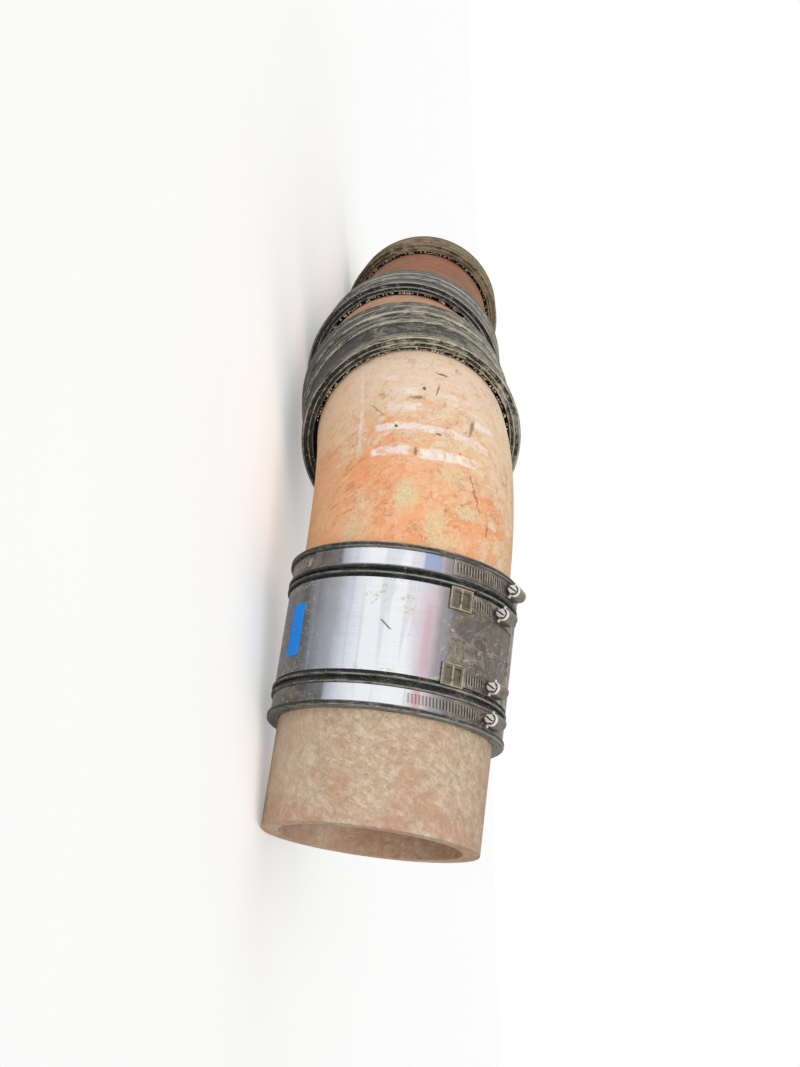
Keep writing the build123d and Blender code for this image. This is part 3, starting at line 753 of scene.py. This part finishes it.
@dataclass(frozen=True)
class EarthFinish:
    """Dried earth, brushed on a slant, over old fired clay that shows more toward the cut end."""
    name: str
    crust: Colour
    clay: Colour
    brushed: Colour = srgb("e6d4bc")
    damp: Colour = srgb("ba9e82")
    dark: Colour = srgb("9c8068")
    painted_light_side: Colour = srgb("f0d8c0")
    crumb: Colour = srgb("e8dec8")

    def make(self, run: Run) -> Material:
        """Makes the material."""
        g = Graph(self.name)
        middle, fine, crumbs = g.noise(70, 6, 0.68, 0.8), g.noise(350, 5, 0.7), g.noise(900, 3, 0.6)
        _, angle, radius, along = g.local(run.matrix(run.sleeve))
        side = g.times(angle, math.radians(run.sizes.pipe_r))
        across = g.plus(along, g.times(side, 0.5))
        down = g.times(g.minus(side, g.times(along, 0.5)), 0.3)
        strokes = g.noise(0.3, 6, 0.74, 0.5, None, g.vector(across, down, radius))
        tone = g.mix(g.ramp(strokes, 0.42, 0.6, 0, 0.9), self.crust, self.brushed)
        tone = g.mix(g.ramp(g.noise(150, 5, 0.72, 0.4), 0.42, 0.56, 0.5, 0), tone, self.damp)
        tone = g.mix(g.times(g.ramp(fine, 0.54, 0.66), 0.5), tone, self.dark)
        # Painted light: lighter toward the floor side, against the shade there.
        tone = g.mix(g.ramp(angle, -75, -30, 0.55, 0), tone, self.painted_light_side)
        bare = g.times(g.ramp(g.noise(16, 4, 0.6, 0.8), 0.42, 0.6, 1, 0), g.ramp(middle, 0.35, 0.55),
                       g.ramp(along, -125, -85, 0.6, 0.3))
        colour = g.mix(bare, tone, self.clay)
        colour = g.mix(g.ramp(crumbs, 0.62, 0.72, 0, 0.8), colour, self.crumb)
        normal = g.bump(g.weigh((middle, 1.4), (fine, 0.5)), 0.003, 0.7)
        return g.finish(colour, 0.95, 0, g.bump(crumbs, 0.0006, 0.6, normal), 0.2)


@dataclass(frozen=True)
class PlainFinish:
    """A printed or painted finish with slight wear."""
    name: str
    base: Colour
    worn: Colour
    rough: float = 0.5

    def make(self, run: Run) -> Material:
        """Makes the material."""
        g = Graph(self.name)
        patch = g.ramp(g.noise(160, 5, 0.65), 0.5, 0.7, 0, 0.6)
        normal = g.bump(g.noise(500, 3, 0.5), 0.0003, 0.3)
        return g.finish(g.mix(patch, self.base, self.worn), self.rough, 0, normal)


# Looks of the clay. Pairs are a start and an end, along the large bend in millimetres or round it in degrees.
STROKE_LEAN = (0.93, 0.36)
SMALL_PATCH = 4.0
PALE_LINE_ROUND, PALE_LINE_ALONG = (-46.6, -44.2), (72, 168)
CRACK_ROUND, CRACK_ALONG = (22.4, 23.3), (34, 57)
# The bend's side colour lightens its floor side as painted light.
BEND_PAINTED_LIGHT, BEND_UPPER_DUST, MUD = palette("fccca0 fcecd6 705642")
PAINT, PAINT_ROSY, OLIVE = palette("fcf0e4 fae0d8 dec696")
EARTH_SMEAR, CRACK = palette("705238 aa4e38")
CLAY = ClayFinish(
    "fired_clay", *palette("f4a470 f6c094 f0d8b2 eac298 f6d6c0 d68452 845c3a"), 0.5, 0.0, MARKS, PATCHES)
# The small bend and the last pipe are darker copies of the bend's clay: painted shade for the pieces further
# down the run, with more mud.
CLAY_BEYOND_SHADED = ClayFinish(
    "fired_clay_beyond_shaded", *palette("d69270 e0b08e d6bc9e cea688 e2bca6 b26848 6e4c36"), 0.5, 0.15)
CLAY_FAR_SHADED = ClayFinish(
    "fired_clay_far_shaded", *palette("b07054 ac7c60 8c7660 826652 a87e68 8e563e 544030"), 0.45, 0.5)
OLD_CLAY = EarthFinish("old_clay", *palette("d0b69a c89478"))
GRIT = EarthFinish("grit", *palette("ded4c0 e4d2bc"))

# Places on the steel, as in the model's source: radii, millimetres along the sleeve and degrees round it.
CLAMPS = {
    "shear_screw_upper": (31.0, 41.0),
    "shear_screw_lower": (-31.0, 40.0),
    "tension_screw_upper": (56.3, 49.0),
    "tension_screw_lower": (-56.3, 41.0),
}
STRAP_AT = 31.0
STRAP_TOP, HOUSING_BASE = (97.3, 97.6), (98.4, 98.9)
FRAME_SIDE, FRAME_SPAN = (8.1, 9.3), (11.0, 25.0)
FRAME_ENDS, FRAME_BAR = ((11.6, 12.7), (23.2, 24.3)), (17.2, 18.4)
WINDOW, WINDOW_HALF = (13.8, 22.2), 6.4
LAP_EDGE, LAP_HALF = (61.6, 62.9), 38.0
TAIL_ENDS = ((56.3, 12.0), (-56.3, -4.0))
TAIL_EDGE, TAIL_HALF = 0.45, 6.6
SLOT_ROWS = ((56.3, 14.0, 47.0), (-56.3, -2.0, 39.0), (31.0, 26.0, 39.0), (-31.0, 26.0, 38.0))
SLOT_STEP, SLOT_SLANT, SLOT_HALF, SLOT_LEAD = 1.7112, 0.0617, 3.9, 0.8

# Colours of the steel. The tones are a painted reflection, bright at the front and darker toward both sides;
# they run from the floor side over the front to the top, by angle. A mirrored tint has its start, end and
# softness round the sleeve, the same along it, its strength and its colour.
BLUISH, ROLLED, SHADED, SCUFFED, SPLASHED, SCRATCHED = palette("b6bcd0 78787a 544f4a bcb4a6 cec6ac 464240")
EARTH, EARTH_PALE, EARTH_TOP = palette("48423a 8c8173 4e4133")
FRAME, FRAME_WORN = palette("6c6050 c4baa0")
WINDOW_EARTH, WINDOW_WORN = palette("483c2e 786c56")
SLOT_EARTH, SLOT_RIB = palette("3c342a b8ae9a")
TAIL_WORN, LAP_WORN = palette("cec6b2 beb29c")
HOUSING_EARTH, HOUSING_WORN = palette("5c5246 948a7a")
STEEL_REFLECTION_TONES = tuple(zip((-100, -62, -48, -43, -36, -27, -6, -1, 5, 10, 30, 100), palette(
    "5c5c5e 686c70 9ea2a8 aaaeb8 d4dae8 f4f8fc f2f3f6 ded6e0 d4c4cc a49ea0 786f67 6a6158")))
MIRRORED = (
    (-2.5, 6.0, 0.6, 46, 66, 0.5, 0.7, srgb("84a2ce")),
    (0.0, 3.2, 0.6, -66, -46, 0.5, 0.6, srgb("de9692")),
    (1.0, 5.0, 1.4, -38, 20, 9.0, 0.5, srgb("cea4ae")),
)
STEEL = SteelFinish("rolled_steel")
# The screws' third colour is painted shade for the slot and the gap behind the head.
SCREW_STEEL = ScrewFinish("screw_steel", *palette("f6f5f0 cec8ba 2e2a26"))
LABEL = PlainFinish("blue_label", *palette("0694ff 3ca0fa"), 0.7)

# Black pieces. Each edge or ring is its place, along or by radius, and half its width.
SLEEVE_EDGES = tuple((sign * at, half) for sign in (-1, 1)
                     for at, half in ((67.0, 0.6), (63.6, 0.4), (48.3, 0.6), (42.0, 0.6)))
COUPLING_EDGES = ((2.3, 0.6), (10.4, 0.9), (55.3, 1.6), (80.0, 1.2), (111.2, 1.0), (68.0, 1.0), (96.0, 1.2))
COUPLING_RINGS = ((102.6, 0.7), (97.6, 0.5), (93.6, 0.4))
RUBBER = DustyFinish(
    "sleeve_rubber", *palette("262728 3a3c3c 484642 706c64 b0aca0"), 98.5, 98.9, 0.4, 0.5, -1, SLEEVE_EDGES)
SEAL_RUBBER = DustyFinish(
    "seal_rubber", *palette("1a1918 22201e 2c2824 3e3832 6e6458"), 120.0, 130.0, 0.3, 0.65)
COUPLINGS = tuple(
    DustyFinish(f"coupling_{name}", *palette(codes), 103.3, 103.9, share, rough, place, COUPLING_EDGES,
                COUPLING_RINGS)
    for place, (name, codes, share, rough) in enumerate((
        ("first", "222320 363631 747062 a09b88 d2ccb8", 0.54, 0.5),
        ("next", "1e2024 30333a 646156 8c8676 beb9a8", 0.36, 0.5),
        ("last", "3c3328 504535 625542 84745c a6987c", 0.7, 0.75),
    )))

# The start of a node's name, and its finish. The screws have their own.
FINISHES = {
    "old_pipe_end": OLD_CLAY,
    "pipe_bend": CLAY,
    "small_bend": CLAY_BEYOND_SHADED,
    "last_pipe": CLAY_FAR_SHADED,
    "rubber_sleeve": RUBBER,
    "shear_band": STEEL,
    "tension_band": STEEL,
    "seal_ring": SEAL_RUBBER,
    "coupling_1": COUPLINGS[0],
    "coupling_2": COUPLINGS[1],
    "coupling_3": COUPLINGS[2],
}


def new_object(name: str, data: bpy.types.ID) -> bpy.types.Object:
    """A new object in the scene."""
    made = bpy.data.objects.new(name, data)
    bpy.context.scene.collection.objects.link(made)
    return made


def from_mesh(name: str, mesh: bmesh.types.BMesh, material: Material) -> bpy.types.Object:
    """A new object with its finish, from a built mesh that is freed here."""
    data = bpy.data.meshes.new(name)
    mesh.to_mesh(data)
    mesh.free()
    data.materials.append(material)
    return new_object(name, data)


def new_piece(name: str, mesh: bmesh.types.BMesh, material: Material) -> None:
    """Turns a built mesh into a piece that rides with the run.

    Args:
        name: the piece's name.
        mesh: the built mesh, freed here.
        material: its finish.
    """
    bmesh.ops.recalc_face_normals(mesh, faces=mesh.faces)
    piece = from_mesh(name, mesh, material)
    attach(piece, "root")
    log.info("%s: %d faces", name, len(piece.data.polygons))


@dataclass
class ModelPieces:
    """The model's own pieces, which keep their shapes and get their finishes here."""
    run: Run

    def build(self) -> None:
        """Gives every node its finish; nodes of one kind share theirs."""
        made: dict[str, Material] = {}
        for node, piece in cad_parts.items():
            if node in CLAMPS:
                material = SCREW_STEEL.make(self.run, self.run.clamp(*CLAMPS[node]))
            else:
                finish = next(finish for start, finish in FINISHES.items() if node.startswith(start))
                if finish.name not in made:
                    made[finish.name] = finish.make(self.run)
                material = made[finish.name]
            piece.data.materials[0] = material
            log.info("%s: %s", node, material.name)


@dataclass(frozen=True)
class Lip:
    """The turned-out lip round a screw, with its two end tabs: lengths in millimetres, angles in degrees.

    Each tab is its angle, its distance from the screw's axis and its width.
    """
    radius: float = 4.95
    ahead: float = 8.5
    wall: float = 1.1
    depth: float = 2.0
    start: float = -120.0
    turn: float = 195.0
    steps: int = 20
    tabs: tuple[Triple, ...] = ((-120.0, 6.0, 1.5), (75.0, 5.7, 1.1))
    tab_length: float = 2.4
    tab_depth: float = 1.6

    def at(self, angle: float, reach: float) -> Matrix:
        """Frame round the screw's axis at an angle and a distance from it."""
        return Matrix.Rotation(math.radians(angle), 4, "Z") @ Matrix.Translation((reach, 0, self.ahead))

    def mesh(self) -> bmesh.types.BMesh:
        """The lip and its tabs in the housing's frame."""
        mesh = bmesh.new()
        flat = self.at(self.start, self.radius) @ Matrix.Rotation(math.pi / 2, 4, "X")
        bmesh.ops.create_grid(mesh, x_segments=1, y_segments=1, size=0.5,
                              matrix=flat @ Matrix.Diagonal((self.wall, self.depth, 1.0, 1.0)))
        bmesh.ops.spin(mesh, geom=mesh.verts[:] + mesh.edges[:] + mesh.faces[:], cent=(0, 0, 0),
                       axis=(0, 0, 1), angle=math.radians(self.turn), steps=self.steps)
        for angle, reach, wide in self.tabs:
            size = Matrix.Diagonal((self.tab_length, wide, self.tab_depth, 1.0))
            bmesh.ops.create_cube(mesh, size=1.0, matrix=self.at(angle, reach) @ size)
        return mesh


@dataclass(frozen=True)
class Label:
    """The plain label: its middle and half its size, in degrees round and millimetres along the sleeve."""
    angle: float = -69.5
    half_angle: float = 5.7
    along: float = -1.5
    half_length: float = 22.0
    lift: float = 0.12
    thick: float = 0.08

    def mesh(self, run: Run) -> bmesh.types.BMesh:
        """The label, bent round the wide band."""
        mesh = bmesh.new()
        bmesh.ops.create_grid(mesh, x_segments=8, y_segments=2, size=1.0)
        for vertex in mesh.verts:
            angle = self.angle + self.half_angle * vertex.co.x
            along = self.along + self.half_length * vertex.co.y
            vertex.co = run.on_pipe(run.sleeve, along, angle, run.sizes.band_r + self.lift)
        bmesh.ops.solidify(mesh, geom=mesh.faces[:], thickness=self.thick * MM)
        return mesh


@dataclass
class SteelCoupling:
    """What the scene adds to the shielded coupling."""
    run: Run

    def build(self) -> None:
        """Adds the lips round the screws, and the plain label at the side of the wide band."""
        for node, place in CLAMPS.items():
            matrix = self.run.clamp(*place)
            mesh = Lip().mesh()
            bmesh.ops.transform(mesh, matrix=matrix, verts=mesh.verts)
            finish = SCREW_STEEL.make(self.run, matrix)
            new_piece(node.replace("screw", "lip"), mesh, finish)
        new_piece("side_label", Label().mesh(self.run), LABEL.make(self.run))


@dataclass
class MouthGrit:
    """Crumbs of earth in the couplings' mouths.

    They lie between two angles round each mouth and two depths in it, and are between two lengths across.
    """
    run: Run
    grains: int = 120
    angles: Pair = (-90, 70)
    lengths: Pair = (0.6, 2.0)
    depths: Pair = (1.4, 4.6)
    seed: int = 7

    def grain(self, chance: random.Random) -> tuple[Matrix, float]:
        """Place of one crumb in a mouth, in the coupling's frame, and its radius."""
        sizes = self.run.sizes
        angle = math.radians(chance.uniform(*self.angles))
        size = chance.uniform(*self.lengths)
        radius = chance.uniform(sizes.pipe_r + size * 0.8, sizes.mouth_r - size * 0.6)
        where = Vector((radius * math.cos(angle), radius * math.sin(angle), chance.uniform(*self.depths)))
        spin = Euler([chance.uniform(0, 6.28) for _ in range(3)]).to_matrix().to_4x4()
        shape = Matrix.Diagonal((1.0, chance.uniform(0.6, 1.0), chance.uniform(0.5, 0.9), 1.0))
        return Matrix.Translation(where) @ spin @ shape, size * 0.8

    def build(self) -> None:
        """Adds crumbs of earth that lie in each mouth, against the seal ring."""
        chance = random.Random(self.seed)
        material = GRIT.make(self.run)
        for index, station in enumerate(self.run.couplings, start=1):
            mesh = bmesh.new()
            matrix = self.run.matrix(station)
            for _ in range(self.grains):
                place, radius = self.grain(chance)
                bmesh.ops.create_icosphere(mesh, subdivisions=1, radius=radius, matrix=matrix @ place)
            new_piece(f"mouth_grit_{index}", mesh, material)


class Lamp(Enum):
    """The studio's soft lamp: direction from the run, angle across in degrees, and power."""
    KEY = ((0.10, -0.88, 0.46), 55.0, 1.7)


def seen(tree: bpy.types.NodeTree) -> Socket:
    """1 for what the camera, gloss or glass shows, and 0 for light that falls on things."""
    path = tree.nodes.new("ShaderNodeLightPath")
    rays = path.outputs["Is Camera Ray"]
    for ray in ("Is Glossy Ray", "Is Transmission Ray"):
        either = tree.nodes.new("ShaderNodeMath")
        either.operation = "MAXIMUM"
        tree.links.new(rays, either.inputs[0])
        tree.links.new(path.outputs[ray], either.inputs[1])
        rays = either.outputs[0]
    return rays


@dataclass
class Studio:
    """Pale floor, soft lamp, white surround and the camera, which is placed in the sleeve's frame."""
    run: Run
    focal_px: float = 1400.0
    height: int = 1067
    sensor: float = 36.0
    floor_radius: float = 30.0
    floor_lift: float = 0.34
    surround: float = 0.46
    eye: Triple = (309.06, -1126.12, -203.9)
    right: Triple = (-0.1292, -0.2143, 0.9682)
    down: Triple = (0.9299, 0.3130, 0.1934)

    def camera(self) -> None:
        """Places the camera where the photograph was taken from."""
        data = bpy.data.cameras.new("camera")
        data.sensor_width = self.sensor
        data.lens = self.focal_px / self.height * self.sensor
        data.clip_start, data.clip_end = 0.05, 60
        camera = new_object("camera", data)
        right = (self.run.lean @ Vector(self.right)).normalized()
        back = right.cross(-(self.run.lean @ Vector(self.down))).normalized()
        turn = Matrix((right, back.cross(right), back)).transposed().to_4x4()
        camera.matrix_world = Matrix.Translation(self.run.place @ Vector(self.eye)) @ turn
        bpy.context.scene.camera = camera

    def floor(self) -> None:
        """A wide pale floor."""
        mesh = bmesh.new()
        bmesh.ops.create_circle(mesh, cap_ends=True, segments=96, radius=self.floor_radius)
        g = Graph("floor")
        tone = g.mix(g.noise(3, 3, 0.5), *palette("ececeb f2f2f1"))
        g.shader.inputs["Emission Color"].default_value = (1, 1, 1, 1)
        g.put(g.shader.inputs["Emission Strength"], g.times(seen(g.tree), self.floor_lift))
        floor = from_mesh("floor", mesh, g.finish(tone, 0.8, 0, None, 0.1))

    def light(self) -> None:
        """The soft lamp and a white surround."""
        for lamp in Lamp:
            toward, across, power = lamp.value
            data = bpy.data.lights.new(lamp.name.lower(), "SUN")
            data.angle, data.energy = math.radians(across), power
            piece = new_object(lamp.name.lower(), data)
            piece.rotation_euler = Vector(toward).to_track_quat("Z", "Y").to_euler()
            piece.visible_glossy = False
        world = bpy.data.worlds.new("surround")
        world.use_nodes = True
        nodes, links = world.node_tree.nodes, world.node_tree.links
        nodes.clear()
        strength = nodes.new("ShaderNodeMapRange")
        links.new(seen(world.node_tree), strength.inputs["Value"])
        strength.inputs["To Min"].default_value = self.surround
        strength.inputs["To Max"].default_value = 1.0
        background = nodes.new("ShaderNodeBackground")
        background.inputs["Color"].default_value = (1, 1, 1, 1)
        links.new(strength.outputs[0], background.inputs["Strength"])
        output = nodes.new("ShaderNodeOutputWorld")
        links.new(background.outputs[0], output.inputs[0])
        bpy.context.scene.world = world

    def build(self) -> None:
        """Makes the whole studio."""
        self.camera()
        self.floor()
        self.light()
        bpy.context.scene.view_settings.view_transform = "Standard"


def main() -> None:
    """Builds every piece and its finish."""
    run = Run(SIZES)
    for part in (Studio, ModelPieces, SteelCoupling, MouthGrit):
        part(run).build()


if __name__ == "__main__":
    main()
